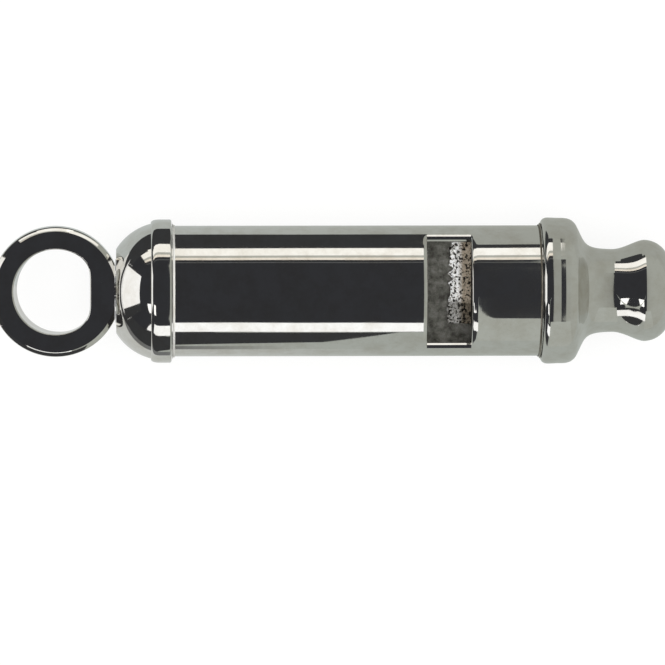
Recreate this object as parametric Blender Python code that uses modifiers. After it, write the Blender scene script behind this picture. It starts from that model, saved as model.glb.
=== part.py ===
"""Two-tone tubular police whistle, built from the pieces that it is riveted and soldered from.

Metres, +Z up. The whistle lies on its side: +X runs along its axis from the hanging ring to the mouthpiece,
+Z is the way its upper window faces, and the collar of the mouthpiece stands on Z = 0. X = 0 is the middle of
its length.
"""

import math

import bmesh
import bpy
from mathutils import Matrix, Vector
from mathutils.geometry import interpolate_bezier

MM = 0.001

# Every turned piece has the same sides in the same places, with one of them lying flat at the bottom.
SEGMENTS = 48
HALF_SIDE = math.pi / SEGMENTS

# Whole whistle. FIT is the solder film or running clearance that is left between two pieces.
LENGTH = 82.5 * MM
FIT = 0.1 * MM

# Barrel: a tube with a window cut straight across it on its upper and its lower side. WINDOW_FLOOR is how far
# from the axis the cut goes down to. At the mouthpiece's side of each window the wall is pressed in.
BARREL_RADIUS = 7.95 * MM
BARREL_WALL = 0.7 * MM
BARREL_START = -21.3 * MM
BARREL_END = 28.5 * MM
WINDOW_START = 11.55 * MM
WINDOW_END = 16.9 * MM
WINDOW_FLOOR = 3.95 * MM
LIP_PRESS = 0.2 * MM
LIP_LENGTH = 1.0 * MM
LIP_STEPS = 3

# End cap: a dome of one arc, centred off the axis, with a flat seat for the ring and a bead at its mouth.
SEAT_X = -26.05 * MM
SEAT_ROUND = 0.3 * MM
DOME_ARC = 7.0 * MM
DOME_CENTRE_X = -20.12 * MM
DOME_CENTRE_OFFSET = 1.42 * MM
BEAD_START = -21.83 * MM
BEAD_END = -19.34 * MM
BEAD_RADIUS = 8.72 * MM
BEAD_ROUND = 0.5 * MM
BEAD_CORNER = 0.2 * MM
CAP_WALL = 0.8 * MM
CAP_END_WALL = 1.0 * MM
CAP_SHOULDER = BARREL_START - FIT

# Hanging ring: flat sided, with a flat in its eye and a flat foot that turns on a washer.
RING_RADIUS = 7.89 * MM
RING_THICKNESS = 4.0 * MM
RING_ROUND = 0.45 * MM
RING_SIDES = 64
EYE_RADIUS = 5.15 * MM
EYE_FLAT = 4.15 * MM
RING_X = RING_RADIUS - LENGTH / 2

# The rivet that the ring turns on, with its washers. Its head is sunk in the eye's flat.
RIVET_RADIUS = 1.0 * MM
RIVET_HEAD_RADIUS = 1.5 * MM
RIVET_TAIL_RADIUS = 1.7 * MM
RIVET_TAIL_HEIGHT = 0.8 * MM
SEAT_WASHER_RADIUS = 3.9 * MM
SEAT_WASHER_HEIGHT = 0.3 * MM
RIVET_WASHER_RADIUS = 2.6 * MM
RIVET_WASHER_HEIGHT = 0.5 * MM
EYE_FLAT_X = RING_X + EYE_FLAT
FOOT_X = SEAT_X - SEAT_WASHER_HEIGHT - 2 * FIT

# Inside the barrel: a plate along its middle, half-round blocks under the windways and half-round stops.
DIVIDER_THICKNESS = 0.8 * MM
DIVIDER_START = -20.8 * MM
DIVIDER_END = 28.2 * MM
BORE_FIT = 0.15 * MM
WINDWAY_HEIGHT = 0.9 * MM
WINDWAY_WIDTH = 11.2 * MM
BLOCK_START = WINDOW_END + BORE_FIT
BLOCK_END = 28.0 * MM
STOP_THICKNESS = 1.2 * MM
UPPER_STOP_X = -16.5 * MM
LOWER_STOP_X = -12.5 * MM

# The lumpy run of solder in the corner between each block and the plate, which shows in the window.
RUN_START = 14.1 * MM
RUN_TOE = 0.3 * MM
RUN_HEIGHT = 2.1 * MM
RUN_LEFT = -3.9 * MM
RUN_RIGHT = 6.0 * MM

# Mouthpiece: a collar that narrows a little, a round shoulder, a neck and a bulb with the breath bore. The
# reaches are how far the neck's outline runs on in its direction at the bulb, the neck and the shoulder.
COLLAR_START = 25.5 * MM
COLLAR_RADIUS = 8.9 * MM
COLLAR_RIM = 0.4 * MM
COLLAR_LAND_END = 26.9 * MM
COLLAR_TAPER = 0.07 * MM
SHOULDER_START = 28.3 * MM
SHOULDER_ARC = 1.7 * MM
SHOULDER_SLOPE = 63
SHOULDER_REACH = 2.5 * MM
NECK_X = 34.25 * MM
NECK_RADIUS = 5.05 * MM
NECK_REACH_TO_SHOULDER = 3.5 * MM
NECK_REACH_TO_BULB = 1.4 * MM
BULB_X = 38.1 * MM
BULB_RADIUS = 6.16 * MM
BULB_REACH = 0.9 * MM
BULB_ROUND = LENGTH / 2 - BULB_X
BREATH_BORE = BULB_RADIUS - BULB_ROUND
THROAT_RADIUS = 7.1 * MM
THROAT_END = 32.3 * MM
MOUTHPIECE_STOP = BARREL_END + FIT

# A solder fillet stands this far out in each corner between the barrel and its two end pieces.
SEAM_SIZE = 0.35 * MM

AXIS_HEIGHT = COLLAR_RADIUS * math.cos(HALF_SIDE)
BORE_RADIUS = BARREL_RADIUS - BARREL_WALL
INSERT_RADIUS = BORE_RADIUS - BORE_FIT
INSERT_FLAT = DIVIDER_THICKNESS / 2 + BORE_FIT
SOCKET_RADIUS = BARREL_RADIUS + FIT
# Cutters run this far past what they cut.
CLEAR = 2.0 * MM
# Edges that turn by more than this stay sharp.
SHARP_ANGLE = math.radians(30)


def clear_scene():
    """Empties the scene that the script starts in."""
    for obj in list(bpy.data.objects):
        bpy.data.objects.remove(obj)


def new_collection(name):
    """A collection linked to the scene."""
    collection = bpy.data.collections.new(name)
    bpy.context.scene.collection.children.link(collection)
    return collection


def metal(name, colour, roughness):
    """A plain metal."""
    material = bpy.data.materials.new(name)
    material.use_nodes = True
    shader = material.node_tree.nodes["Principled BSDF"]
    shader.inputs["Base Color"].default_value = (*colour, 1)
    shader.inputs["Metallic"].default_value = 1
    shader.inputs["Roughness"].default_value = roughness
    return material


def new_object(name, mesh, collection, parent, material=None):
    """An object on the whistle's axis, or on the parent that it turns with."""
    obj = bpy.data.objects.new(name, mesh)
    collection.objects.link(obj)
    obj.parent = parent
    if material:
        mesh.materials.append(material)
    return obj


def as_cutter(obj):
    """Keeps a cutter out of the render and draws it as wire."""
    obj.hide_render = True
    obj.display_type = "WIRE"
    return obj


def arc(centre_x, centre_r, radius, start, end, steps):
    """Points (x, r) of an arc, with its angles in degrees from the +X direction."""
    points = []
    for i in range(steps + 1):
        angle = math.radians(start + (end - start) * i / steps)
        points.append((centre_x + radius * math.cos(angle), centre_r + radius * math.sin(angle)))
    return points


def sweep(start, start_handle, end_handle, end, steps):
    """Points (x, r) of a smooth curve between two points, without the last one."""
    knots = [Vector((x, r, 0)) for x, r in (start, start_handle, end_handle, end)]
    return [(point.x, point.y) for point in interpolate_bezier(*knots, steps + 1)[:-1]]


def turned(name, profile, collection, parent, material=None, closed=True):
    """A piece turned about the X axis from (x, r) points, which run along its outside towards -X.

    A closed profile makes a piece with a hole in it. An open one starts and ends on the axis.
    """
    mesh = bpy.data.meshes.new(name)
    turn = Matrix.Rotation(HALF_SIDE, 3, "Z")
    points = [turn @ Vector((r, 0, x)) for x, r in profile]
    edges = [(i, i + 1) for i in range(len(points) - 1)]
    if closed:
        edges.append((len(points) - 1, 0))
    mesh.from_pydata(points, edges, [])
    obj = new_object(name, mesh, collection, parent, material)
    obj.rotation_euler.y = math.pi / 2
    screw = obj.modifiers.new("Turn", "SCREW")
    screw.steps = SEGMENTS
    screw.render_steps = SEGMENTS
    screw.use_merge_vertices = True
    screw.merge_threshold = 0.00001
    return obj


def disc_profile(start, end, radius):
    """The open profile of a solid disc."""
    return [(end, 0), (end, radius), (start, radius), (start, 0)]


def tube_profile(start, end, radius, inner):
    """The closed profile of a tube or a washer."""
    return [(end, inner), (end, radius), (start, radius), (start, inner)]


def block(name, low, high, collection, parent, material=None):
    """A box between two corners."""
    mesh = bpy.data.meshes.new(name)
    shape = bmesh.new()
    bmesh.ops.create_cube(shape, size=1)
    size = Vector(high) - Vector(low)
    bmesh.ops.scale(shape, vec=size, verts=shape.verts)
    bmesh.ops.translate(shape, vec=Vector(low) + size / 2, verts=shape.verts)
    shape.to_mesh(mesh)
    shape.free()
    return new_object(name, mesh, collection, parent, material)


def upright_disc(name, radius, height, collection, parent, material=None):
    """A disc of the ring's outline, centred on the ring, lying in its plane."""
    mesh = bpy.data.meshes.new(name)
    shape = bmesh.new()
    bmesh.ops.create_cone(
        shape, cap_ends=True, segments=RING_SIDES, radius1=radius, radius2=radius, depth=height
    )
    bmesh.ops.translate(shape, vec=(RING_X, 0, 0), verts=shape.verts)
    shape.to_mesh(mesh)
    shape.free()
    return new_object(name, mesh, collection, parent, material)


def boolean(obj, cutter, operation="DIFFERENCE"):
    """Cuts or crosses an object with a cutter."""
    modifier = obj.modifiers.new(cutter.name, "BOOLEAN")
    modifier.object = cutter
    modifier.operation = operation
    modifier.solver = "EXACT"


def apply_modifiers(obj):
    """Gives an object the mesh that its modifiers make."""
    graph = bpy.context.evaluated_depsgraph_get()
    mesh = bpy.data.meshes.new_from_object(obj.evaluated_get(graph))
    obj.modifiers.clear()
    obj.data = mesh


def smooth(obj):
    """Shades a finished piece smooth between its turned edges."""
    apply_modifiers(obj)
    obj.data.shade_smooth()
    obj.data.set_sharp_from_angle(angle=SHARP_ANGLE)


def ease(share):
    """A smooth step from 0 at 0 to 1 at 1."""
    share = min(max(share, 0), 1)
    return share * share * (3 - 2 * share)


def press_lips(barrel):
    """Presses the wall in beside each window, most at the middle of its edge."""
    half_window = math.acos(WINDOW_FLOOR / BARREL_RADIUS)
    window_middle = (WINDOW_START + WINDOW_END) / 2
    for vertex in barrel.data.vertices:
        x, radius = vertex.co.z, vertex.co.xy.length
        if x < window_middle:
            continue
        from_edge = max(x - WINDOW_END, 0) / LIP_LENGTH
        from_middle = math.atan2(abs(vertex.co.y), abs(vertex.co.x)) / half_window
        press = LIP_PRESS * ease(1 - from_edge) * ease(2 * (1 - from_middle))
        vertex.co.xy *= 1 - press / radius


def make_barrel(parts, cutters, axis, material):
    """The tube with its two windows, with stations for the pressed lips at the windows' far side."""
    lip = [WINDOW_END + LIP_LENGTH * (LIP_STEPS - i) / LIP_STEPS for i in range(LIP_STEPS)]
    in_window = [WINDOW_END - FIT, WINDOW_START + FIT]
    stations = [BARREL_END, *lip, *in_window, BARREL_START]
    outside = [(x, BARREL_RADIUS) for x in stations]
    inside = [(x, BORE_RADIUS) for x in reversed(stations)]
    barrel = turned("barrel", outside + inside, parts, axis, material)
    apply_modifiers(barrel)
    press_lips(barrel)
    top = BARREL_RADIUS + CLEAR
    for name, low, high in (("upper", WINDOW_FLOOR, top), ("lower", -top, -WINDOW_FLOOR)):
        cutter = block(f"{name}_window", (WINDOW_START, -top, low), (WINDOW_END, top, high), cutters, axis)
        boolean(barrel, as_cutter(cutter))
    smooth(barrel)


def dome_radius(x, arc_radius):
    """Radius of the dome, or of its inside, at a place along the axis."""
    return DOME_CENTRE_OFFSET + math.sqrt(arc_radius**2 - (x - DOME_CENTRE_X) ** 2)


def dome_angle(x, arc_radius):
    """Angle in degrees at which the dome's arc passes a place along the axis."""
    return math.degrees(math.acos((x - DOME_CENTRE_X) / arc_radius))


def make_end_cap(parts, axis, material):
    """The domed cap with its bead, hollow, with the socket that the barrel is soldered into."""
    seat_side = SEAT_X + SEAT_ROUND
    inner_arc = DOME_ARC - CAP_WALL
    inner_end = SEAT_X + CAP_END_WALL
    profile = [(BEAD_END, SOCKET_RADIUS)]
    profile += arc(BEAD_END - BEAD_CORNER, BEAD_RADIUS - BEAD_CORNER, BEAD_CORNER, 0, 90, steps=2)
    profile += arc(BEAD_START + BEAD_ROUND, BEAD_RADIUS - BEAD_ROUND, BEAD_ROUND, 90, 180, steps=4)
    start = dome_angle(BEAD_START, DOME_ARC)
    end = dome_angle(seat_side, DOME_ARC)
    profile += arc(DOME_CENTRE_X, DOME_CENTRE_OFFSET, DOME_ARC, start, end, steps=9)[1:]
    profile.append((SEAT_X, dome_radius(seat_side, DOME_ARC) - SEAT_ROUND))
    profile.append((SEAT_X, RIVET_RADIUS + FIT))
    profile.append((inner_end, RIVET_RADIUS + FIT))
    start = dome_angle(inner_end, inner_arc)
    end = dome_angle(CAP_SHOULDER, inner_arc)
    profile += arc(DOME_CENTRE_X, DOME_CENTRE_OFFSET, inner_arc, start, end, steps=6)
    profile.append((CAP_SHOULDER, SOCKET_RADIUS))
    smooth(turned("end_cap", profile, parts, axis, material))


def make_hanging_ring(parts, cutters, axis, material):
    """The ring, with the flat in its eye, its flat foot and the sunk hole for the rivet."""
    ring = upright_disc("hanging_ring", RING_RADIUS, RING_THICKNESS, parts, axis, material)
    rounding = ring.modifiers.new("Round", "BEVEL")
    rounding.width = RING_ROUND
    rounding.segments = 3
    rounding.limit_method = "ANGLE"
    rounding.angle_limit = SHARP_ANGLE
    height = RING_THICKNESS + CLEAR
    side = RING_RADIUS + CLEAR
    eye = as_cutter(upright_disc("eye", EYE_RADIUS, height, cutters, axis))
    flat = block("eye_flat", (EYE_FLAT_X, -side, -height), (EYE_FLAT_X + side, side, height), cutters, axis)
    boolean(eye, as_cutter(flat))
    foot = block("foot", (FOOT_X, -side, -height), (FOOT_X + side, side, height), cutters, axis)
    rivet_hole = turned("rivet_hole", rivet_hole_profile(), cutters, axis, closed=False)
    for cutter in (eye, foot, rivet_hole):
        boolean(ring, as_cutter(cutter))
    smooth(ring)


def rivet_hole_profile():
    """The profile of the sunk hole in the ring's foot, open at both ends."""
    shank = RIVET_RADIUS + FIT
    head = RIVET_HEAD_RADIUS + FIT
    start, end = EYE_FLAT_X - CLEAR, FOOT_X + CLEAR
    profile = [(end, 0), (end, shank), (EYE_FLAT_X + head - shank, shank)]
    profile += [(EYE_FLAT_X, head), (start, head), (start, 0)]
    return profile


def rivet_profile():
    """The rivet's profile, from its closed tail to its sunk head."""
    tail = SEAT_X + CAP_END_WALL + RIVET_WASHER_HEIGHT + 2 * FIT
    head = EYE_FLAT_X + FIT
    dome_offset = RIVET_TAIL_RADIUS - RIVET_TAIL_HEIGHT
    profile = [(tail + RIVET_TAIL_HEIGHT, 0)]
    profile += arc(tail, dome_offset, RIVET_TAIL_HEIGHT, 0, 90, steps=3)
    profile += [(tail, RIVET_RADIUS), (head + RIVET_HEAD_RADIUS - RIVET_RADIUS, RIVET_RADIUS)]
    profile += [(head, RIVET_HEAD_RADIUS), (head, 0)]
    return profile


def make_swivel(parts, axis, plate, brass):
    """The rivet that the ring turns on, the washer under the ring and the one inside the dome."""
    smooth(turned("ring_rivet", rivet_profile(), parts, axis, plate, closed=False))
    hole = RIVET_RADIUS + FIT
    start = FOOT_X + FIT
    seat = tube_profile(start, start + SEAT_WASHER_HEIGHT, SEAT_WASHER_RADIUS, hole)
    smooth(turned("seat_washer", seat, parts, axis, plate))
    start = SEAT_X + CAP_END_WALL + FIT
    burr = tube_profile(start, start + RIVET_WASHER_HEIGHT, RIVET_WASHER_RADIUS, hole)
    smooth(turned("rivet_washer", burr, parts, axis, brass))


def make_solder_run(name, up, parts, axis, solder):
    """A wedge of solder in the corner between a block and the plate, lowest at its toe."""
    low = (RUN_START, RUN_LEFT, INSERT_FLAT)
    high = (BLOCK_START - FIT, RUN_RIGHT, INSERT_FLAT + RUN_HEIGHT)
    run = block(name, low, high, parts, axis, solder)
    for vertex in run.data.vertices:
        if vertex.co.x < BLOCK_START - CLEAR and vertex.co.z > INSERT_FLAT + RUN_TOE:
            vertex.co.z = INSERT_FLAT + RUN_TOE
    if up < 0:
        run.rotation_euler.x = math.pi


def make_inserts(parts, cutters, axis, brass, solder):
    """The dividing plate, and on each side of it a windway block, its solder and a chamber stop."""
    half_width = INSERT_RADIUS - FIT
    half_height = DIVIDER_THICKNESS / 2
    low = (DIVIDER_START, -half_width, -half_height)
    block("tone_divider", low, (DIVIDER_END, half_width, half_height), parts, axis, brass)
    side = BARREL_RADIUS + CLEAR
    half_slit = WINDWAY_WIDTH / 2
    floor = INSERT_RADIUS - WINDWAY_HEIGHT
    ring = tube_profile(BLOCK_START - CLEAR, BLOCK_END + CLEAR, side, floor)
    start, end = BARREL_START - CLEAR, BARREL_END + CLEAR
    for name, up, stop_x in (("upper", 1, UPPER_STOP_X), ("lower", -1, LOWER_STOP_X)):
        low_z, high_z = sorted((up * INSERT_FLAT, -up * side))
        other_half = as_cutter(
            block(f"{name}_half", (start, -side, low_z), (end, side, high_z), cutters, axis)
        )
        low_z, high_z = sorted((0, up * side))
        slit = as_cutter(
            block(f"{name}_slit", (start, -half_slit, low_z), (end, half_slit, high_z), cutters, axis)
        )
        windway = as_cutter(turned(f"{name}_windway", ring, cutters, axis))
        boolean(windway, slit, "INTERSECT")
        plug = disc_profile(BLOCK_START, BLOCK_END, INSERT_RADIUS)
        windway_block = turned(f"{name}_windway_block", plug, parts, axis, brass, closed=False)
        boolean(windway_block, other_half)
        boolean(windway_block, windway)
        smooth(windway_block)
        disc = disc_profile(stop_x - STOP_THICKNESS, stop_x, INSERT_RADIUS)
        stop = turned(f"{name}_chamber_stop", disc, parts, axis, brass, closed=False)
        boolean(stop, other_half)
        smooth(stop)
        make_solder_run(f"{name}_solder_run", up, parts, axis, solder)


def neck_profile(shoulder_end):
    """The outline from the bulb's crest down into the neck and up to the end of the shoulder's arc."""
    crest = (BULB_X, BULB_RADIUS)
    neck = (NECK_X, NECK_RADIUS)
    slope = math.radians(SHOULDER_SLOPE)
    from_crest = (BULB_X - BULB_REACH, BULB_RADIUS)
    to_neck = (NECK_X + NECK_REACH_TO_BULB, NECK_RADIUS)
    from_neck = (NECK_X - NECK_REACH_TO_SHOULDER, NECK_RADIUS)
    to_shoulder = (
        shoulder_end[0] + SHOULDER_REACH * math.cos(slope),
        shoulder_end[1] - SHOULDER_REACH * math.sin(slope),
    )
    outline = sweep(crest, from_crest, to_neck, neck, steps=7)[1:]
    return outline + sweep(neck, from_neck, to_shoulder, shoulder_end, steps=8)


def make_mouthpiece(parts, axis, material):
    """The turned mouthpiece, with the socket for the barrel, a narrowing throat and the breath bore."""
    shoulder_centre = COLLAR_RADIUS - COLLAR_TAPER - SHOULDER_ARC
    shoulder = arc(SHOULDER_START, shoulder_centre, SHOULDER_ARC, 90 - SHOULDER_SLOPE, 90, steps=6)
    profile = arc(BULB_X, BREATH_BORE, BULB_ROUND, 0, 90, steps=8)
    profile += neck_profile(shoulder[0])
    profile += shoulder
    profile.append((COLLAR_LAND_END, COLLAR_RADIUS))
    profile += arc(COLLAR_START + COLLAR_RIM, COLLAR_RADIUS - COLLAR_RIM, COLLAR_RIM, 90, 180, steps=3)
    profile += [
        (COLLAR_START, SOCKET_RADIUS),
        (MOUTHPIECE_STOP, SOCKET_RADIUS),
        (MOUTHPIECE_STOP, THROAT_RADIUS),
        (THROAT_END, BREATH_BORE),
    ]
    smooth(turned("mouthpiece", profile, parts, axis, material))


def make_seams(parts, axis, solder):
    """The solder fillets where the end cap and the mouthpiece meet the barrel."""
    for name, corner, out in (
        ("end_cap_solder_seam", BEAD_END + FIT, 1),
        ("mouthpiece_solder_seam", COLLAR_START - FIT, -1),
    ):
        foot = (corner + out * SEAM_SIZE, SOCKET_RADIUS)
        wall = (corner, SOCKET_RADIUS + SEAM_SIZE)
        inner = (corner, SOCKET_RADIUS)
        profile = [foot, wall, inner] if out > 0 else [inner, wall, foot]
        smooth(turned(name, profile, parts, axis, solder))


def main():
    """Builds the whistle."""
    clear_scene()
    parts = new_collection("police_whistle")
    cutters = new_collection("cutters")
    cutters.hide_render = True
    plate = metal("polished nickel plate", (0.76, 0.75, 0.72), roughness=0.06)
    rough_plate = metal("rough plated brass", (0.56, 0.52, 0.45), roughness=0.45)
    solder = metal("tin solder", (0.62, 0.62, 0.61), roughness=0.25)

    axis = new_object("whistle_axis", None, parts, None)
    axis.location.z = AXIS_HEIGHT

    make_hanging_ring(parts, cutters, axis, plate)
    make_swivel(parts, axis, plate, rough_plate)
    make_end_cap(parts, axis, plate)
    make_barrel(parts, cutters, axis, plate)
    make_inserts(parts, cutters, axis, rough_plate, solder)
    make_mouthpiece(parts, axis, plate)
    make_seams(parts, axis, solder)


main()
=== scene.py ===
"""The looks of a tubular two-tone police whistle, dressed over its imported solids.

Sizes are in millimetres, on an axis that runs along X from the hanging ring to the mouthpiece. A finished
mesh is set on the frame's own axis, in metres.
"""

import logging
import math
from collections.abc import Iterable, Sequence
from dataclasses import dataclass, replace
from enum import Enum

import bmesh
import bpy
from bmesh.types import BMesh, BMEdge, BMVert
from mathutils import Matrix, Vector, noise
from mathutils.geometry import interpolate_bezier


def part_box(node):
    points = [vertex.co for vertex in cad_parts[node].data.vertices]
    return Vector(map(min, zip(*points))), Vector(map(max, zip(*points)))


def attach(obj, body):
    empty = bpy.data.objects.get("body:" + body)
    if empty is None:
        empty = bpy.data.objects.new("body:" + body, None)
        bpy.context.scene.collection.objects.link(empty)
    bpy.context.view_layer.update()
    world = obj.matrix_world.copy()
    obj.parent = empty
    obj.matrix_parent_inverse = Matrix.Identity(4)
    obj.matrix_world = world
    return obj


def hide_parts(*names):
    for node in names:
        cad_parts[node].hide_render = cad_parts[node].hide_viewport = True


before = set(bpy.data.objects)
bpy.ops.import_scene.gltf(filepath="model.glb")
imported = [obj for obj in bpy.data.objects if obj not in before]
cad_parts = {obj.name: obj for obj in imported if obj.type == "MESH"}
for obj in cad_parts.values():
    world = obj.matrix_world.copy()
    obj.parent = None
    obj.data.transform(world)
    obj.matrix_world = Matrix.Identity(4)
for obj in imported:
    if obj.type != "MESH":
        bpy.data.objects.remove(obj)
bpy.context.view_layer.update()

LOG = logging.getLogger("whistle")

MM = 0.001
AXIS_HEIGHT = sum(corner.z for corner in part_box("mouthpiece")) / 2
SOLID_SIDES = 48
# Round pieces keep to the circle inside the flat sides of the solids, and so inside the same box.
INSIDE_FLATS = math.cos(math.pi / SOLID_SIDES)
SPIN_STEPS = 192
ROUND_STEPS = 6
ROUND_PROFILE = 0.5
ARC_STEP_DEGREES = 3
FEWEST_ARC_STEPS = 4
SWEEP_STEPS = 24
WELD = 1e-5
SHARP_ANGLE = math.radians(24)

Colour = tuple[float, float, float, float]
Socket = bpy.types.NodeSocket


class Body(Enum):
    """The bodies that pieces ride on."""

    WHISTLE = "whistle"
    RING = "ring"


class Slot(Enum):
    """The record's material slots."""

    NICKEL = "nickel_plate"
    BRASS = "rough_brass"
    SOLDER = "solder"


class Way(Enum):
    """The directions in which a shade can change."""

    ALONG = "X"
    ACROSS = "Y"
    UP = "Z"


# Finishes

def linear(hex_colour: str) -> Colour:
    """Turn an sRGB hex colour to linear light.

    Args:
        hex_colour: A colour such as "#D8D5CE".

    Returns:
        Red, green, blue and an alpha of 1.
    """
    parts = [int(hex_colour[i : i + 2], 16) / 255 for i in (1, 3, 5)]
    red, green, blue = (c / 12.92 if c <= 0.04045 else ((c + 0.055) / 1.055) ** 2.4 for c in parts)
    return red, green, blue, 1.0


def per_mm(size: float) -> float:
    """Texture scale that gives a pattern's features this size in millimetres."""
    return 1 / (size * MM)


class Recipe:
    """A node material in the making, with the steps that several of them share."""

    def __init__(self, name: str) -> None:
        """Start the material with its output and the place of each point in its own piece.

        Args:
            name: The material's name.
        """
        self.material = bpy.data.materials.new(name)
        self.material.use_nodes = True
        self.tree = self.material.node_tree
        self.tree.nodes.clear()
        self.output = self.add("OutputMaterial")
        self.place = self.add("TexCoord").outputs["Object"]

    def add(
        self,
        kind: str,
        inputs: dict[str | int, object] | None = None,
        stops: Iterable[tuple[float, str]] = (),
        **settings: object,
    ) -> bpy.types.Node:
        """Add a node with its settings, its input values and its links.

        Args:
            kind: Blender's name for the kind of node, from after ShaderNode.
            inputs: A value, or the socket to link from, for each named or numbered input. None leaves it be.
            stops: Places and hex colours along the ramp, where the node has one.
            **settings: Properties of the node itself.

        Returns:
            The new node.
        """
        made = self.tree.nodes.new(f"ShaderNode{kind}")
        for name, value in settings.items():
            setattr(made, name, value)
        for name, value in (inputs or {}).items():
            if isinstance(value, Socket):
                self.tree.links.new(value, made.inputs[name])
            elif value is not None:
                made.inputs[name].default_value = value
        for i, (place, colour) in enumerate(stops):
            ramp = made.color_ramp.elements
            stop = ramp[i] if i < len(ramp) else ramp.new(place)
            stop.position, stop.color = place, linear(colour)
        return made

    def ramp(self, share: Socket, stops: Iterable[tuple[float, str]]) -> Socket:
        """A colour that runs through hex colours at their places."""
        return self.add("ValToRGB", {"Fac": share}, stops).outputs["Color"]

    def span(self, value: Socket, start: float, end: float, low: float = 0.0, high: float = 1.0) -> Socket:
        """A value's way from start to end, turned to a way from low to high."""
        inputs = {"Value": value, "From Min": start, "From Max": end, "To Min": low, "To Max": high}
        return self.add("MapRange", inputs).outputs["Result"]

    def along(self, way: Way, run: tuple[float, float]) -> Socket:
        """How far a point has come along a run in millimetres, from 0 to 1."""
        place = self.add("SeparateXYZ", {"Vector": self.place}).outputs[way.value]
        return self.span(place, run[0] * MM, run[1] * MM)

    def end(self, surface: Socket) -> bpy.types.Material:
        """End the recipe with this surface, and give the material."""
        self.tree.links.new(surface, self.output.inputs["Surface"])
        return self.material


@dataclass(frozen=True)
class Patches:
    """Patches of other shades and other dullness in a surface, shared out by one noise."""

    size: float
    detail: float
    grit: float
    shades: tuple[str, ...]
    edges: tuple[float, ...]
    dullness: tuple[float, float]
    dull_edges: tuple[float, float]

    def spread(self, recipe: Recipe) -> tuple[Socket, Socket]:
        """Spread the patches over a material.

        Args:
            recipe: The material in the making.

        Returns:
            The shade of the surface, and its dullness.
        """
        inputs = {"Vector": recipe.place, "Scale": per_mm(self.size), "Detail": self.detail}
        share = recipe.add("TexNoise", {**inputs, "Roughness": self.grit}).outputs["Fac"]
        shade = recipe.ramp(share, zip(self.edges, self.shades))
        return shade, recipe.span(share, *self.dull_edges, *self.dullness)


@dataclass(frozen=True)
class PaintedShade:
    """A tint of painted shade that comes in over a run in one direction."""

    way: Way
    run: tuple[float, float]
    tint: str

    def over(self, recipe: Recipe, shade: Socket) -> Socket:
        """Darken a shade with the tint.

        Args:
            recipe: The material in the making.
            shade: The shade without the tint.

        Returns:
            The shade, darkened by the tint.
        """
        # A mix of colours takes its share at input 0 and its colours at 6 and 7. Output 2 is the mix.
        inputs = {0: recipe.along(self.way, self.run), 6: shade, 7: linear(self.tint)}
        mixed = recipe.add("Mix", inputs, data_type="RGBA", blend_type="MULTIPLY", clamp_factor=True)
        return mixed.outputs[2]


class Pattern(Enum):
    """The patterns that a relief can have."""

    CLOUDY = "TexNoise"
    GRAINED = "TexVoronoi"


@dataclass(frozen=True)
class Relief:
    """Fine unevenness in the shading, with features of one length along the axis and one size across it."""

    run: float
    size: float
    detail: float
    depth: float
    pattern: Pattern = Pattern.CLOUDY

    def bend(self, recipe: Recipe, under: Socket | None) -> Socket:
        """Lay the relief over a material.

        Args:
            recipe: The material in the making.
            under: The direction of the relief that this one lies on, if there is one.

        Returns:
            The direction of the uneven surface.
        """
        scale = (per_mm(self.run), per_mm(self.size), per_mm(self.size))
        drawn = recipe.add("Mapping", {"Vector": recipe.place, "Scale": scale}).outputs["Vector"]
        uneven = recipe.add(self.pattern.value, {"Vector": drawn, "Scale": 1.0, "Detail": self.detail})
        inputs = {"Height": uneven.outputs[0], "Strength": 1.0, "Distance": self.depth * MM, "Normal": under}
        return recipe.add("Bump", inputs).outputs["Normal"]


@dataclass(frozen=True)
class Coat:
    """A finish that has been made: its material and the record's slot for it."""

    material: bpy.types.Material
    slot: Slot


@dataclass(frozen=True)
class Finish:
    """What a piece is finished with: patches under tints of painted shade, and reliefs from the lowest up."""

    name: str
    slot: Slot
    shine: float
    patches: Patches
    painted_shades: tuple[PaintedShade, ...] = ()
    reliefs: tuple[Relief, ...] = ()

    def coat(self) -> Coat:
        """Make the finish.

        Returns:
            Its coat, with a new node material.
        """
        recipe = Recipe(self.name)
        shade, dullness = self.patches.spread(recipe)
        for painted_tint in self.painted_shades:
            shade = painted_tint.over(recipe, shade)
        normal = None
        for relief in self.reliefs:
            normal = relief.bend(recipe, normal)
        inputs = {"Base Color": shade, "Metallic": self.shine, "Roughness": dullness, "Normal": normal}
        return Coat(recipe.end(recipe.add("BsdfPrincipled", inputs).outputs["BSDF"]), self.slot)


# A clear mirror, warm by a trace, whose edges of light waver. Handling leaves a dull bloom in patches, and
# buffing leaves fine lines round the axis.
POLISHED_NICKEL = Finish(
    "polished nickel plate", Slot.NICKEL, shine=1.0,
    patches=Patches(
        size=2.6, detail=6.0, grit=0.65, shades=("#DCDBD7", "#D0CDC6"), edges=(0.4, 0.66),
        dullness=(0.035, 0.085), dull_edges=(0.35, 0.75),
    ),
    reliefs=(
        Relief(run=16.0, size=5.0, detail=0.0, depth=0.06),
        Relief(run=0.3, size=5.0, detail=2.0, depth=0.0005),
    ),
)

# Unbuffed plated brass inside the barrel: a dim brown-grey satin with the grit of the rolled sheet.
ROUGH_BRASS = Finish(
    "rough plated brass", Slot.BRASS, shine=0.8,
    patches=Patches(
        size=1.3, detail=8.0, grit=0.75, shades=("#A09F98", "#5A5852"), edges=(0.38, 0.62),
        dullness=(0.42, 0.62), dull_edges=(0.3, 0.7),
    ),
    reliefs=(Relief(run=0.22, size=0.22, detail=3.0, depth=0.03),),
)

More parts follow.
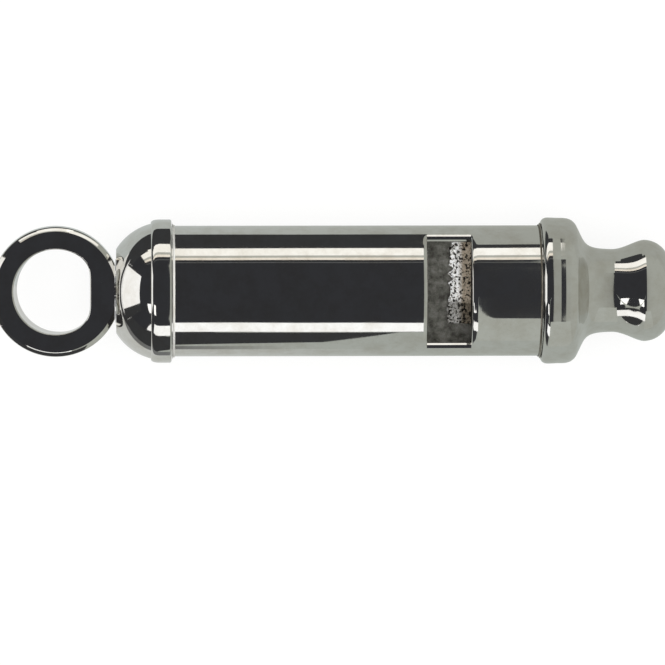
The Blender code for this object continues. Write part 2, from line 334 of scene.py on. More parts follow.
# Solder wiped smooth in a seam: a soft grey mirror, dulled where the wiping left flux.
PALE_SEAM = Finish(
    "pale wiped solder", Slot.SOLDER, shine=0.35,
    patches=Patches(
        size=3.0, detail=3.0, grit=0.5, shades=("#F4F3EE", "#D9D6CD"), edges=(0.42, 0.7),
        dullness=(0.28, 0.42), dull_edges=(0.3, 0.7),
    ),
)
# The collar's seam: the same solder, darker, as painted shade for the shadow line between barrel and collar.
SHADED_SEAM = replace(
    PALE_SEAM, name="wiped solder with painted shade", shine=0.9,
    patches=replace(PALE_SEAM.patches, shades=("#A09A8E", "#6E675B")),
)

# Solder cooled in grains. In its colour, white grains are painted glints and near-black pits painted shade.
TIN_SOLDER = Finish(
    "grained tin solder", Slot.SOLDER, shine=0.1,
    patches=Patches(
        size=0.34, detail=2.0, grit=0.6, shades=("#1C1915", "#E9E7E0", "#FFFFFF"), edges=(0.42, 0.48, 0.55),
        dullness=(0.45, 0.2), dull_edges=(0.4, 0.6),
    ),
    # Both tints are painted shade: tan and darker by the far lip, dimmer towards -Y by the window's long rim.
    painted_shades=(PaintedShade(Way.ALONG, (15.4, 16.0), "#ACA08F"), PaintedShade(Way.ACROSS, (-0.8, -1.5), "#A2A19E")),
    reliefs=(Relief(run=0.3, size=0.3, detail=0.0, depth=0.16, pattern=Pattern.GRAINED),),
)


class Finishes:
    """The coats of the whistle, each made once."""

    def __init__(self) -> None:
        """Make each coat."""
        self.nickel = POLISHED_NICKEL.coat()
        self.brass = ROUGH_BRASS.coat()
        self.pale_seam = PALE_SEAM.coat()
        self.shaded_seam = SHADED_SEAM.coat()
        self.solder = TIN_SOLDER.coat()


# Shaping

class Lathe:
    """A wire outline of places along the axis and radii, which is turned about the axis into a piece."""

    def __init__(self, x: float, radius: float) -> None:
        """Start the outline at a point.

        Args:
            x: Place along the axis.
            radius: Distance from the axis.
        """
        self.shape = bmesh.new()
        self.corners: list[tuple[BMVert, float]] = []
        self.first = self.tip = self.point(x, radius)

    def point(self, x: float, radius: float) -> BMVert:
        """A new point of the outline, joined to nothing yet."""
        return self.shape.verts.new((x, 0, radius * INSIDE_FLATS))

    def line(self, x: float, radius: float, rounding: float = 0) -> "Lathe":
        """Draw a straight side to a point.

        Args:
            x: Place along the axis.
            radius: Distance from the axis.
            rounding: How far the rounding of the corner there reaches along its two sides.

        Returns:
            The lathe itself.
        """
        point = self.point(x, radius)
        self.shape.edges.new((self.tip, point))
        self.tip = point
        if rounding:
            self.corners.append((point, rounding))
        return self

    def arc(self, x: float, radius: float, degrees: float) -> "Lathe":
        """Draw an arc from the last point.

        Args:
            x: Place of the arc's centre along the axis.
            radius: The centre's distance from the axis.
            degrees: How far the arc goes, counted from the mouthpiece's direction towards the outside.

        Returns:
            The lathe itself.
        """
        swung = bmesh.ops.spin(
            self.shape, geom=[self.tip], cent=(x, 0, radius * INSIDE_FLATS), axis=(0, -1, 0),
            angle=math.radians(degrees), steps=max(FEWEST_ARC_STEPS, round(abs(degrees) / ARC_STEP_DEGREES)),
        )
        self.tip = next(part for part in swung["geom_last"] if isinstance(part, BMVert))
        return self

    def sweep(self, *points: tuple[float, float], steps: int = SWEEP_STEPS) -> "Lathe":
        """Draw a smooth curve from the last point.

        Args:
            *points: The handle at the start, the handle at the end, and the end, as places and radii.
            steps: How many straight sides stand for the curve.

        Returns:
            The lathe itself.
        """
        start = Vector((self.tip.co.x, self.tip.co.z / INSIDE_FLATS, 0))
        knots = [start, *(Vector((x, radius, 0)) for x, radius in points)]
        for point in interpolate_bezier(*knots, steps + 1)[1:]:
            self.line(point.x, point.y)
        return self

    def close(self) -> "Lathe":
        """Join the last point to the first one."""
        self.shape.edges.new((self.tip, self.first))
        return self

    def turn(self) -> BMesh:
        """Round the marked corners and turn the outline about the axis.

        Returns:
            The turned shape, with its doubles merged and its faces pointing outwards.
        """
        for corner, rounding in self.corners:
            bmesh.ops.bevel(
                self.shape, geom=[corner], offset=rounding, offset_type="OFFSET", segments=ROUND_STEPS,
                profile=ROUND_PROFILE, affect="VERTICES", material=-1,
            )
        bmesh.ops.spin(
            self.shape, geom=self.shape.verts[:] + self.shape.edges[:], cent=(0, 0, 0), axis=(1, 0, 0),
            angle=math.tau, steps=SPIN_STEPS, use_merge=True,
        )
        bmesh.ops.remove_doubles(self.shape, verts=self.shape.verts, dist=WELD)
        bmesh.ops.recalc_face_normals(self.shape, faces=self.shape.faces)
        return self.shape


def soften(shape: BMesh, edges: Sequence[BMEdge], width: float, steps: int) -> None:
    """Round some edges of a shape.

    Args:
        shape: The shape, in millimetres.
        edges: The edges to round.
        width: How far the rounding reaches on each side.
        steps: Segments of the rounding.
    """
    bmesh.ops.bevel(
        shape, geom=list(edges), offset=width, offset_type="OFFSET", segments=steps, profile=ROUND_PROFILE,
        affect="EDGES", clamp_overlap=True, material=-1,
    )


def solder_fillet(corner: float, foot: float, radius: float) -> BMesh:
    """Turn a hollow fillet of solder, in the corner between the barrel and a piece that it goes into.

    Args:
        corner: Place of the corner along the axis.
        foot: Where the fillet runs out on the barrel. It climbs as far as it runs.
        radius: The corner's distance from the axis.

    Returns:
        The turned shape.
    """
    run = foot - corner
    lathe = Lathe(corner, radius)
    lathe.line(foot, radius)
    lathe.sweep(
        (corner + run / 3, radius), (corner, radius + abs(run) / 3), (corner, radius + abs(run)),
        steps=ROUND_STEPS,
    )
    return lathe.close().turn()


def mesh_of(shape: BMesh, name: str, material: bpy.types.Material) -> bpy.types.Mesh:
    """Turn a shape to a mesh.

    Args:
        shape: The shape. It is freed.
        name: The mesh's name.
        material: What the mesh is finished with.

    Returns:
        The mesh.
    """
    mesh = bpy.data.meshes.new(name)
    shape.to_mesh(mesh)
    shape.free()
    mesh.materials.append(material)
    return mesh


def show(name: str, data: bpy.types.ID) -> bpy.types.Object:
    """Put a mesh, a lamp or a camera into the scene.

    Args:
        name: The object's name.
        data: What the object shows.

    Returns:
        The object.
    """
    obj = bpy.data.objects.new(name, data)
    bpy.context.scene.collection.objects.link(obj)
    return obj


def set_down(shape: BMesh, name: str, body: Body, coat: Coat, smooth: bool = True) -> None:
    """Put a finished shape on the frame's axis as a piece that stands for the solid of its own name.

    Args:
        shape: The shape, in millimetres about the axis. It is freed.
        name: The solid that the piece stands for.
        body: The body that it rides on.
        coat: What it is finished with.
        smooth: Whether its faces are shaded as one curved surface.
    """
    bmesh.ops.scale(shape, vec=(MM, MM, MM), verts=shape.verts)
    bmesh.ops.translate(shape, vec=(0, 0, AXIS_HEIGHT), verts=shape.verts)
    mesh = mesh_of(shape, name, coat.material)
    piece = show(f"dressed_{name}", mesh)
    if smooth:
        mesh.shade_smooth()
        mesh.set_sharp_from_angle(angle=SHARP_ANGLE)
        # Wide faces keep their own direction, so that narrow roundings beside them don't bend their mirror.
        flats = piece.modifiers.new("Even mirror", "WEIGHTED_NORMAL")
        flats.keep_sharp = True
    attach(piece, body.value)
    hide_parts(name)
    LOG.info("%s: %d faces, rides on %s", piece.name, len(mesh.polygons), body.value)


# The whistle

@dataclass
class Barrel:
    """The tube with a window on each side, its filed lip and its pressed one."""

    finishes: Finishes
    start: float = -21.3
    end: float = 28.5
    radius: float = 7.95
    wall: float = 0.7
    window_start: float = 11.55
    window_end: float = 16.9
    window_floor: float = 3.95
    rim_drop: float = 0.18
    rim_spread: float = 0.06
    edge_round: float = 0.2
    round_shares: tuple[float, ...] = (1.0, 0.5, 0.134)
    round_run: float = 3.0
    filed_length: float = 0.4
    filed_depth: float = 0.14
    filed_lead: float = 0.12
    press_length: float = 0.6
    press_shares: tuple[float, ...] = (0.2, 0.4, 0.6, 0.8)
    press_depth: float = 0.115
    press_tail: float = 0.15
    press_run: float = 14.0

    def build(self) -> None:
        """Make the tube and set it down."""
        shape = self.tube()
        self.cut_windows(shape)
        self.shape_lips(shape)
        self.join_walls(shape)
        self.dress(shape)

    def dress(self, shape: BMesh) -> None:
        """Plate the tube and set it down."""
        set_down(shape, "barrel", Body.WHISTLE, self.finishes.nickel)

    def stations(self) -> list[float]:
        """Find the places along the axis where the tube has a ring of points.

        Returns:
            The places in order, closer together at the two lips.
        """
        filed = self.window_start - self.filed_length
        pressed = self.window_end + self.press_length
        lip = [self.press_length * share for share in self.press_shares]
        rounding = [self.edge_round * share for share in self.round_shares]
        near = [self.window_start - reach for reach in rounding]
        far = [self.window_end + reach for reach in sorted(lip + rounding)]
        return [
            self.start, filed - self.filed_lead, filed, *near, self.window_start,
            self.window_end, *far, pressed, pressed + self.press_tail, self.end,
        ]

    def tube(self) -> BMesh:
        """Turn the tube.

        Returns:
            The tube before its windows are cut.
        """
        outer, inner = self.radius, self.radius - self.wall
        first, *others = self.stations()
        lathe = Lathe(first, outer)
        for x in others:
            lathe.line(x, outer)
        for x in reversed(self.stations()):
            lathe.line(x, inner)
        return lathe.close().turn()

    def cut_windows(self, shape: BMesh) -> None:
        """Cut both windows out of both skins of the tube, down to the edges of their blunted long rims.

        Args:
            shape: The tube.
        """
        floor = self.window_floor - self.rim_drop
        for up in (1, -1):
            crossed = [face for face in shape.faces if self.in_window(face.calc_center_median().x)]
            parts = {part for face in crossed for part in (*face.verts, *face.edges)} | set(crossed)
            bmesh.ops.bisect_plane(
                shape, geom=list(parts), dist=WELD, plane_co=(0, 0, up * floor), plane_no=(0, 0, up)
            )
        opened = [
            face
            for face in shape.faces
            if self.in_window(face.calc_center_median().x) and abs(face.calc_center_median().z) > floor
        ]
        bmesh.ops.delete(shape, geom=opened, context="FACES")

    def in_window(self, x: float) -> bool:
        """Whether a place along the axis lies between the windows' two ends."""
        return self.window_start < x < self.window_end

    def shape_lips(self, shape: BMesh) -> None:
        """File the near lip, press the far one in, with a fold at each corner, and round the edges of both.

        Args:
            shape: The tube with its windows cut.
        """
        for vert in shape.verts:
            x = vert.co.x
            ring = vert.co.yz.length
            outer = ring > self.radius - self.wall / 2
            near_middle = self.from_corner(vert, self.press_run)
            inward = 0.0
            if x > self.window_end - WELD:
                near_edge = 1 - (x - self.window_end) / self.press_length
                inward = self.press_depth * max(near_edge + near_middle - 1, 0)
            elif x <= self.window_start + WELD and outer:
                near_edge = max(1 - (self.window_start - x) / self.filed_length, 0)
                inward = self.filed_depth * near_edge * near_middle
            to_lip = min(abs(x - self.window_start), abs(x - self.window_end))
            if outer and to_lip < self.edge_round:
                drop = self.edge_round - math.sqrt(self.edge_round**2 - (self.edge_round - to_lip) ** 2)
                inward += drop * self.from_corner(vert, self.round_run)
            vert.co.y *= 1 - inward / ring
            vert.co.z *= 1 - inward / ring

    def from_corner(self, vert: BMVert, run: float) -> float:
        """Find how far round the tube a point lies from a window's corner, towards the window's middle.

        Args:
            vert: The point.
            run: The way round that counts as 1, in degrees.

        Returns:
            A share from 0 to 1.
        """
        corner = math.degrees(math.acos(self.window_floor / self.radius))
        from_middle = math.degrees(math.atan2(abs(vert.co.y), abs(vert.co.z)))
        return min(max((corner - from_middle) / run, 0), 1)

    def join_walls(self, shape: BMesh) -> None:
        """Close the wall between the two skins round both windows.

        Args:
            shape: The tube with its windows cut.
        """
        rims = [edge for edge in shape.edges if edge.is_boundary]
        long_rims = [edge for edge in rims if abs(edge.verts[0].co.x - edge.verts[1].co.x) > WELD]
        lips = [edge for edge in rims if abs(edge.verts[0].co.x - edge.verts[1].co.x) <= WELD]
        middle = (self.window_start + self.window_end) / 2
        sides = [(up, far) for up in (True, False) for far in (True, False)]
        rungs = []
        for up, far in sides:
            pair = [e for e in long_rims if (e.verts[0].co.z > 0) == up and (e.verts[0].co.y > 0) == far]
            rungs.append(bmesh.ops.bridge_loops(shape, edges=pair)["edges"])
        for up, far in sides:
            pair = [e for e in lips if (e.verts[0].co.z > 0) == up and (e.verts[0].co.x > middle) == far]
            bmesh.ops.bridge_loops(shape, edges=pair)
        for rung in rungs:
            self.blunt_rim(shape, rung)
        bmesh.ops.recalc_face_normals(shape, faces=shape.faces)

    def blunt_rim(self, shape: BMesh, rungs: Sequence[BMEdge]) -> None:
        """Raise the middle of a window's long rim to the window's floor, which leaves a slope on each side.

        Args:
            shape: The tube.
            rungs: The edges across the rim at its two ends.
        """
        split = bmesh.ops.subdivide_edges(shape, edges=list(rungs), cuts=2, use_grid_fill=True)
        raised = [part for part in split["geom_inner"] if isinstance(part, BMVert)]
        middle = sum(vert.co.y for vert in raised) / len(raised)
        for vert in raised:
            vert.co.z = math.copysign(self.window_floor, vert.co.z)
            vert.co.y += math.copysign(self.rim_spread, vert.co.y - middle)


@dataclass
class EndCap:
    """The hollow dome with its bead, and the solder in the corner between it and the barrel."""

    finishes: Finishes
    seat_x: float = -26.05
    dome_centre: tuple[float, float] = (-20.12, 1.42)
    dome_arc: float = 7.0
    bead_start: float = -21.83
    bead_end: float = -19.34
    bead_radius: float = 8.72
    bead_crown: tuple[float, float] = (1.1, 0.35)
    crown_steps: int = 12
    bead_far_round: float = 0.22
    wall: float = 0.8
    end_wall: float = 1.0
    socket_radius: float = 8.05
    socket_start: float = -21.4
    rivet_hole: float = 1.1
    seam_start: float = -19.24
    seam_size: float = 0.3

    def dome_angle(self, x: float, arc: float) -> float:
        """Angle in degrees at which the dome, or its inside, passes a place along the axis."""
        return math.degrees(math.acos((x - self.dome_centre[0]) / arc))

    def dome_point(self, x: float, arc: float) -> tuple[float, float]:
        """Place and radius of the dome, or of its inside, at a place along the axis."""
        rise = arc * math.sin(math.radians(self.dome_angle(x, arc)))
        return x, self.dome_centre[1] + rise

    def build(self) -> None:
        """Turn the cap and its seam and set them down."""
        inner_arc = self.dome_arc - self.wall
        inner_end = self.seat_x + self.end_wall
        bead_angle = self.dome_angle(self.bead_start, self.dome_arc)
        sweep = self.dome_angle(self.seat_x + WELD, self.dome_arc) - bead_angle
        inner_sweep = self.dome_angle(self.socket_start, inner_arc) - self.dome_angle(inner_end, inner_arc)
        lathe = Lathe(self.bead_end, self.socket_radius)
        lathe.line(self.bead_end, self.bead_radius, self.bead_far_round)
        run, drop = self.bead_crown
        lathe.line(self.bead_start + run, self.bead_radius)
        lathe.sweep(
            (self.bead_start + run / 2, self.bead_radius),
            (self.bead_start + run / 16, self.bead_radius - drop / 4),
            (self.bead_start, self.bead_radius - drop),
            steps=self.crown_steps,
        )
        lathe.line(*self.dome_point(self.bead_start, self.dome_arc))
        lathe.arc(*self.dome_centre, sweep)
        lathe.line(self.seat_x, self.rivet_hole)
        lathe.line(inner_end, self.rivet_hole)
        lathe.line(*self.dome_point(inner_end, inner_arc))
        lathe.arc(*self.dome_centre, inner_sweep)
        lathe.line(self.socket_start, self.socket_radius)
        self.dress(lathe.close().turn(), self.seam())

    def seam(self) -> BMesh:
        """The hollow fillet of solder against the bead."""
        return solder_fillet(self.seam_start, self.seam_start + self.seam_size, self.socket_radius)

    def dress(self, cap: BMesh, seam: BMesh) -> None:
        """Plate the cap, tin the seam and set both down."""
        set_down(cap, "end_cap", Body.WHISTLE, self.finishes.nickel)
        set_down(seam, "end_cap_solder_seam", Body.WHISTLE, self.finishes.pale_seam)


@dataclass
class Swivel:
    """The hanging ring with the flat in its eye, and the rivet and washer that it turns on."""

    finishes: Finishes
    ring_x: float = -33.36
    ring_radius: float = 7.89
    thickness: float = 4.0
    edge_width: float = 0.55
    edge_depth: float = 0.385
    edge_round: float = 0.12
    eye_radius: float = 5.15
    eye_flat: float = 4.15
    eye_lean: tuple[float, float] = (0.42, 0.14)
    lean_run: float = 4.0
    eye_round: float = 0.18
    eye_steps: int = 5
    edge_steps: int = 3
    eye_corner: float = 1.3
    corner_passes: int = 30
    pass_share: float = 0.5
    blunt_angle: float = math.radians(20)
    sides: int = 144
    foot_x: float = -26.21
    head_x: float = -29.11
    head_radius: float = 1.5
    head_crown: float = 0.08
    crown_handle: float = 0.8
    crown_steps: int = 8
    shank_radius: float = 1.0
    tail_x: float = -24.35
    tail_radius: float = 1.7
    tail_height: float = 0.8
    clearance: float = 0.1
    head_clearance: float = 0.2
    mouth_overrun: float = 0.3
    foot_overrun: float = 1.0
    cut_weld: float = 10 * WELD
    washer_start: float = -26.18
    washer_edge: float = -26.14
    washer_end: float = -26.07
    washer_radius: float = 3.9
    washer_handle: float = 0.85
    washer_dish: float = 0.02
    washer_steps: int = 10
    washer_round: float = 0.02

    def build(self) -> None:
        """Make the ring, the rivet and the washer and set them down."""
        self.dress(self.ring(), self.rivet(), self.washer())

    def washer(self) -> BMesh:
        """Turn the washer.

        Returns:
            The thin dished disc between the ring's foot and the cap.
        """
        hole = self.shank_radius + self.clearance
        lathe = Lathe(self.washer_start, hole)
        lathe.sweep(
            (self.washer_start, self.washer_radius / 2),
            (self.washer_edge - self.washer_dish, self.washer_radius * self.washer_handle),
            (self.washer_edge, self.washer_radius),
            steps=self.washer_steps,
        )
        lathe.line(self.washer_end, self.washer_radius, self.washer_round)
        lathe.line(self.washer_end, hole)
        return lathe.close().turn()

    def ring(self) -> BMesh:
        """Make the ring: two circles bridged, thickened, rounded, cut flat at the foot and drilled.

        Returns:
            The ring, lying level.
        """
        shape = bmesh.new()
        rim = bmesh.ops.create_circle(shape, segments=self.sides, radius=self.ring_radius)["verts"]
        eye = bmesh.ops.create_circle(shape, segments=self.sides, radius=self.eye_radius)["verts"]
        for vert in eye:
            vert.co.x = min(vert.co.x, self.eye_flat)
        corner_y = math.sqrt(self.eye_radius**2 - self.eye_flat**2)
        corners = [Vector((self.eye_flat, side * corner_y, 0)) for side in (1, -1)]
        blunt = [
            vert for vert in eye if min((vert.co - corner).length for corner in corners) < self.eye_corner
        ]
        for _ in range(self.corner_passes):
            bmesh.ops.smooth_vert(
                shape, verts=blunt, factor=self.pass_share, use_axis_x=True, use_axis_y=True
            )
        face = bmesh.ops.bridge_loops(shape, edges=shape.edges[:])["faces"]
        raised = bmesh.ops.extrude_face_region(shape, geom=face)["geom"]
        lifted = [part for part in raised if isinstance(part, BMVert)]
        bmesh.ops.translate(shape, vec=(0, 0, self.thickness), verts=lifted)
        bmesh.ops.translate(shape, vec=(0, 0, -self.thickness / 2), verts=shape.verts)
        bmesh.ops.recalc_face_normals(shape, faces=shape.faces)
        middle = (self.ring_radius + self.eye_radius) / 2
        for vert in shape.verts:
            if vert.co.z < 0 and vert.co.xy.length < middle:
                lean = min((self.eye_flat - vert.co.x) / self.lean_run, 1)
                vert.co.xy += lean * Vector(self.eye_lean)
        turned = [edge for edge in shape.edges if edge.calc_face_angle(0) > SHARP_ANGLE]
        outer = [edge for edge in turned if edge.verts[0].co.xy.length > middle]
        inner = [
            edge for edge in turned
            if edge.verts[0].co.xy.length < middle and abs(edge.verts[0].co.z - edge.verts[1].co.z) < WELD
        ]
        self.bevel_edge(shape, outer)
        soften(shape, [edge for edge in inner if edge.is_valid], self.eye_round, self.eye_steps)
        bmesh.ops.translate(shape, vec=(self.ring_x, 0, 0), verts=shape.verts)
        bmesh.ops.bisect_plane(
            shape, geom=shape.verts[:] + shape.edges[:] + shape.faces[:], dist=WELD,
            plane_co=(self.foot_x, 0, 0), plane_no=(1, 0, 0), clear_outer=True,
        )
        bmesh.ops.holes_fill(shape, edges=[edge for edge in shape.edges if edge.is_boundary], sides=0)
        self.drill(shape)
        return shape

    def bevel_edge(self, shape: BMesh, outer: Sequence[BMEdge]) -> None:
        """Bevel the ring's outer edges, flatter than half a right angle, and blunt the bevel's own edges.

        Args:
            shape: The ring, level about its own middle.
            outer: Its two outer edges.
        """
        half = self.thickness / 2
        soften(shape, outer, self.edge_width, steps=1)
        foot = half - self.edge_width
        blunt = []
        for vert in shape.verts:
            if vert.co.xy.length > self.ring_radius - WELD and abs(abs(vert.co.z) - foot) < WELD:
                vert.co.z = math.copysign(half - self.edge_depth, vert.co.z)
        for edge in shape.edges:
            level = abs(edge.verts[0].co.z - edge.verts[1].co.z) < WELD
            outside = edge.verts[0].co.xy.length > self.ring_radius - self.edge_width - WELD
            if level and outside and edge.calc_face_angle(0) > self.blunt_angle:
                blunt.append(edge)
        soften(shape, blunt, self.edge_round, self.edge_steps)

    def drill(self, shape: BMesh) -> None:
        """Sink the rivet's hole through the ring's foot.

        Args:
            shape: The ring, lying level. Its mesh is replaced by the drilled one.
        """
        shank = self.shank_radius + self.clearance
        head = self.head_radius + self.head_clearance
        mouth = self.ring_x + self.eye_flat
        start = self.foot_x + self.foot_overrun
        end = mouth - self.mouth_overrun
        lathe = Lathe(start, 0).line(start, shank).line(mouth + head - shank, shank)
        lathe.line(end, head + self.mouth_overrun).line(end, 0)
        drilled = [show(part, bpy.data.meshes.new(part)) for part in ("ring", "drill")]
        for obj, part in zip(drilled, (shape, lathe.turn())):
            part.to_mesh(obj.data)
        cut = drilled[0].modifiers.new("Rivet hole", "BOOLEAN")
        cut.object, cut.operation, cut.solver = drilled[1], "DIFFERENCE", "EXACT"
        graph = bpy.context.evaluated_depsgraph_get()
        result = bpy.data.meshes.new_from_object(drilled[0].evaluated_get(graph))
        shape.clear()
        shape.from_mesh(result)
        bmesh.ops.remove_doubles(shape, verts=shape.verts, dist=self.cut_weld)
        for obj in drilled:
            bpy.data.meshes.remove(obj.data)
        bpy.data.meshes.remove(result)

    def rivet(self) -> BMesh:
        """Turn the rivet.

        Returns:
            The rivet, from the crown of its sunk head to its closed tail.
        """
        crown_x = self.head_x - self.head_crown
        lathe = Lathe(crown_x, 0)
        lathe.sweep(
            (crown_x, self.head_radius / 2),
            (self.head_x - self.head_crown / 2, self.head_radius * self.crown_handle),
            (self.head_x, self.head_radius),
            steps=self.crown_steps,
        )
        lathe.line(self.head_x + self.head_radius - self.shank_radius, self.shank_radius)
        lathe.line(self.tail_x, self.shank_radius)
        lathe.line(self.tail_x, self.tail_radius)
        lathe.arc(self.tail_x, self.tail_radius - self.tail_height, -90)
        lathe.line(self.tail_x + self.tail_height, 0)
        return lathe.turn()

    def dress(self, ring: BMesh, rivet: BMesh, washer: BMesh) -> None:
        """Plate the three pieces and set them down.

        Args:
            ring: The hanging ring.
            rivet: The rivet that it turns on.
            washer: The washer under its foot.
        """
        set_down(ring, "hanging_ring", Body.RING, self.finishes.nickel)
        set_down(rivet, "ring_rivet", Body.WHISTLE, self.finishes.nickel)
        set_down(washer, "seat_washer", Body.WHISTLE, self.finishes.nickel)


@dataclass
class Mouthpiece:
    """The turned mouthpiece with its collar, shoulder, neck and bulb, and the solder at its collar."""

    finishes: Finishes
    start: float = 25.5
    rim_round: float = 0.75
    collar_radius: float = 8.9
    land_end: float = 26.7
    land_round: float = 0.08
    waist: tuple[float, float] = (27.54, 28.22)
    waist_radius: float = 8.86
    shoulder_start: float = 28.38
    shoulder_radius: float = 8.83
    shoulder_arc: float = 1.65
    shoulder_lead: float = 6.0
    shoulder_slope: float = 63.0
    shoulder_reach: float = 2.5
    neck: tuple[float, float] = (34.25, 5.05)
    neck_to_shoulder: float = 3.5
    neck_to_bulb: float = 1.4
    neck_slope: float = 0.012
    bulb: tuple[float, float] = (38.1, 6.16)
    bulb_reach: float = 0.9
    tip_x: float = 41.25
    lip_round: float = 0.18
    throat_radius: float = 7.1
    throat_end: float = 32.3
    throat_round: float = 0.3
    stop_x: float = 28.6
    socket_radius: float = 8.05
    seam_end: float = 25.4
    seam_size: float = 0.22

    def build(self) -> None:
        """Turn the mouthpiece and its seam and set them down."""
        bulb_round = self.tip_x - self.bulb[0]
        bore = self.bulb[1] - bulb_round
        slope = math.radians(self.shoulder_slope)
        centre = (self.shoulder_start, self.shoulder_radius - self.shoulder_arc)
        arc_end = (
            centre[0] + self.shoulder_arc * math.sin(slope), centre[1] + self.shoulder_arc * math.cos(slope)
        )
        to_shoulder = (
            arc_end[0] + self.shoulder_reach * math.cos(slope),
            arc_end[1] - self.shoulder_reach * math.sin(slope),
        )
        lathe = Lathe(self.start, self.socket_radius)
        lathe.line(self.stop_x, self.socket_radius)
        lathe.line(self.stop_x, self.throat_radius)
        lathe.line(self.throat_end, bore, self.throat_round)
        lathe.line(self.tip_x - self.lip_round, bore, self.lip_round / 2)
        lathe.line(self.tip_x, bore + self.lip_round)
        lathe.arc(self.bulb[0], bore, 90)
        lathe.tip.co = (self.bulb[0], 0, self.bulb[1] * INSIDE_FLATS)
        to_bulb = (self.bulb[0] - self.bulb_reach, self.bulb[1])
        lathe.sweep(to_bulb, (self.neck[0] + self.neck_to_bulb, self.neck[1]), self.neck)
        from_neck = self.neck[1] + self.neck_to_shoulder * self.neck_slope
        lathe.sweep((self.neck[0] - self.neck_to_shoulder, from_neck), to_shoulder, arc_end)
        lathe.arc(*centre, self.shoulder_slope - self.shoulder_lead)
        for x in reversed(self.waist):
            lathe.line(x, self.waist_radius, self.land_round)
        lathe.line(self.land_end, self.collar_radius, self.land_round)
        lathe.line(self.start, self.collar_radius, self.rim_round)
        self.dress(lathe.close().turn(), self.seam())

    def seam(self) -> BMesh:
        """The hollow fillet of solder against the collar."""
        return solder_fillet(self.seam_end, self.seam_end - self.seam_size, self.socket_radius)

    def dress(self, mouthpiece: BMesh, seam: BMesh) -> None:
        """Plate the mouthpiece, tin the seam and set both down."""
        set_down(mouthpiece, "mouthpiece", Body.WHISTLE, self.finishes.nickel)
        # The seam's darker solder is painted shade in the corner against the collar.
        set_down(seam, "mouthpiece_solder_seam", Body.WHISTLE, self.finishes.shaded_seam)


@dataclass
class Inserts:
    """What the barrel holds: the divider, the windway blocks, the stops and the grainy runs of solder."""

    finishes: Finishes
    plain: tuple[str, ...] = (
        "tone_divider", "upper_windway_block", "lower_windway_block", "upper_chamber_stop",
        "lower_chamber_stop", "rivet_washer",
    )
    pitch: float = 0.09
    foot_share: float = 0.2
    slope_share: float = 0.65
    grain: float = 0.32
    grain_rise: float = 0.26
    grain_level: float = 0.5
    lump: float = 1.3
    lump_rise: float = 0.3
    lump_seed: tuple[float, float, float] = (7, 3, 1)
    toe: float = 14.45
    toe_wander: float = 0.5
    toe_ripple: float = 0.6
    toe_seed: tuple[float, float] = (2, 5)
    blob: tuple[float, float] = (-2.5, 1.5)
    blob_reach: float = 0.4
    blob_edge: int = 4
    thin: float = 0.06

    def build(self) -> None:
        """Make the two runs of solder and dress everything inside the barrel."""
        self.dress(self.run("upper_solder_run", up=1), self.run("lower_solder_run", up=-1))

    def run(self, name: str, up: int) -> BMesh:
        """Make a lumpy run of solder in the box of its solid.

        Args:
            name: The solid.
            up: 1 for the run above the divider, -1 for the one below it.

        Returns:
            The closed, grainy shape.
        """
        low, high = (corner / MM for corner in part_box(name))
        base = (low.z if up > 0 else high.z) - AXIS_HEIGHT / MM
        size = high - low
        shape = bmesh.new()
        bmesh.ops.create_grid(
            shape, x_segments=round(size.x / self.pitch), y_segments=round(size.y / self.pitch), size=0.5
        )
        bmesh.ops.scale(shape, vec=(size.x, size.y, 1), verts=shape.verts)
        bmesh.ops.translate(shape, vec=((low.x + high.x) / 2, (low.y + high.y) / 2, base), verts=shape.verts)
        bare = [
            face for face in shape.faces if min(vert.co.x - self.toe_at(vert.co.y) for vert in face.verts) < 0
        ]
        bmesh.ops.delete(shape, geom=bare, context="FACES")
        skirt = bmesh.ops.extrude_edge_only(shape, edges=[edge for edge in shape.edges if edge.is_boundary])
        feet = [part for part in skirt["geom"] if isinstance(part, BMVert)]
        for vert in set(shape.verts) - set(feet):
            vert.co.z += up * self.height(vert.co, size.z, high.x)
        bmesh.ops.holes_fill(shape, edges=[edge for edge in shape.edges if edge.is_boundary], sides=0)
        bmesh.ops.recalc_face_normals(shape, faces=shape.faces)
        return shape

    def toe_at(self, y: float) -> float:
        """Find where the solder begins: a wandering line with one blob.

        Args:
            y: The place across the axis.

        Returns:
            The place along the axis.
        """
        wander = noise.noise(Vector((y / self.toe_ripple, *self.toe_seed))) * self.toe_wander
        middle, width = self.blob
        return self.toe + wander - self.blob_reach * math.exp(-(((y - middle) / width) ** self.blob_edge))

    def height(self, place: Vector, most: float, end: float) -> float:
        """Find how high the solder stands at a place.

        Args:
            place: The place on the divider, in millimetres.
            most: The greatest height.
            end: Where the solder ends along the axis, at the lip.

        Returns:
            The height above the divider's face.
        """
        flat = Vector((place.x, place.y, 0))
        toe = self.toe_at(place.y)
        rise = (place.x - toe) / (end - toe)
        cell = noise.voronoi(flat / self.grain, distance_metric="DISTANCE")[0][0]
        slope = most * (self.foot_share + self.slope_share * rise)
        lumps = self.lump_rise * noise.noise(flat / self.lump + Vector(self.lump_seed))
        grains = self.grain_rise * (self.grain_level - cell)
        return min(max(slope + lumps + grains, self.thin), most)

    def dress(self, *runs: BMesh) -> None:
        """Tin the runs, and give the solids that stay as they are their brass.

        Args:
            *runs: The upper run of solder and the lower one.
        """
        for name, shape in zip(("upper_solder_run", "lower_solder_run"), runs):
            set_down(shape, name, Body.WHISTLE, self.finishes.solder, smooth=False)
        for name in self.plain:
            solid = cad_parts[name]
            solid.data.materials.clear()
            solid.data.materials.append(self.finishes.brass.material)
            LOG.info("%s: solid kept, in %s", name, self.finishes.brass.material.name)


# The studio

# Shades of the cards, which glow and are seen only in the metal: painted reflections of shade and light.
DARK = "#3E3F41"
NEAR_GREY = "#B8BDB8"
FAR_GREY = "#B2B5AF"
SIDE_GREY = "#BEC2BC"
END_GREY = "#B5B8B1"
WARM_WHITE = "#FFFDF8"


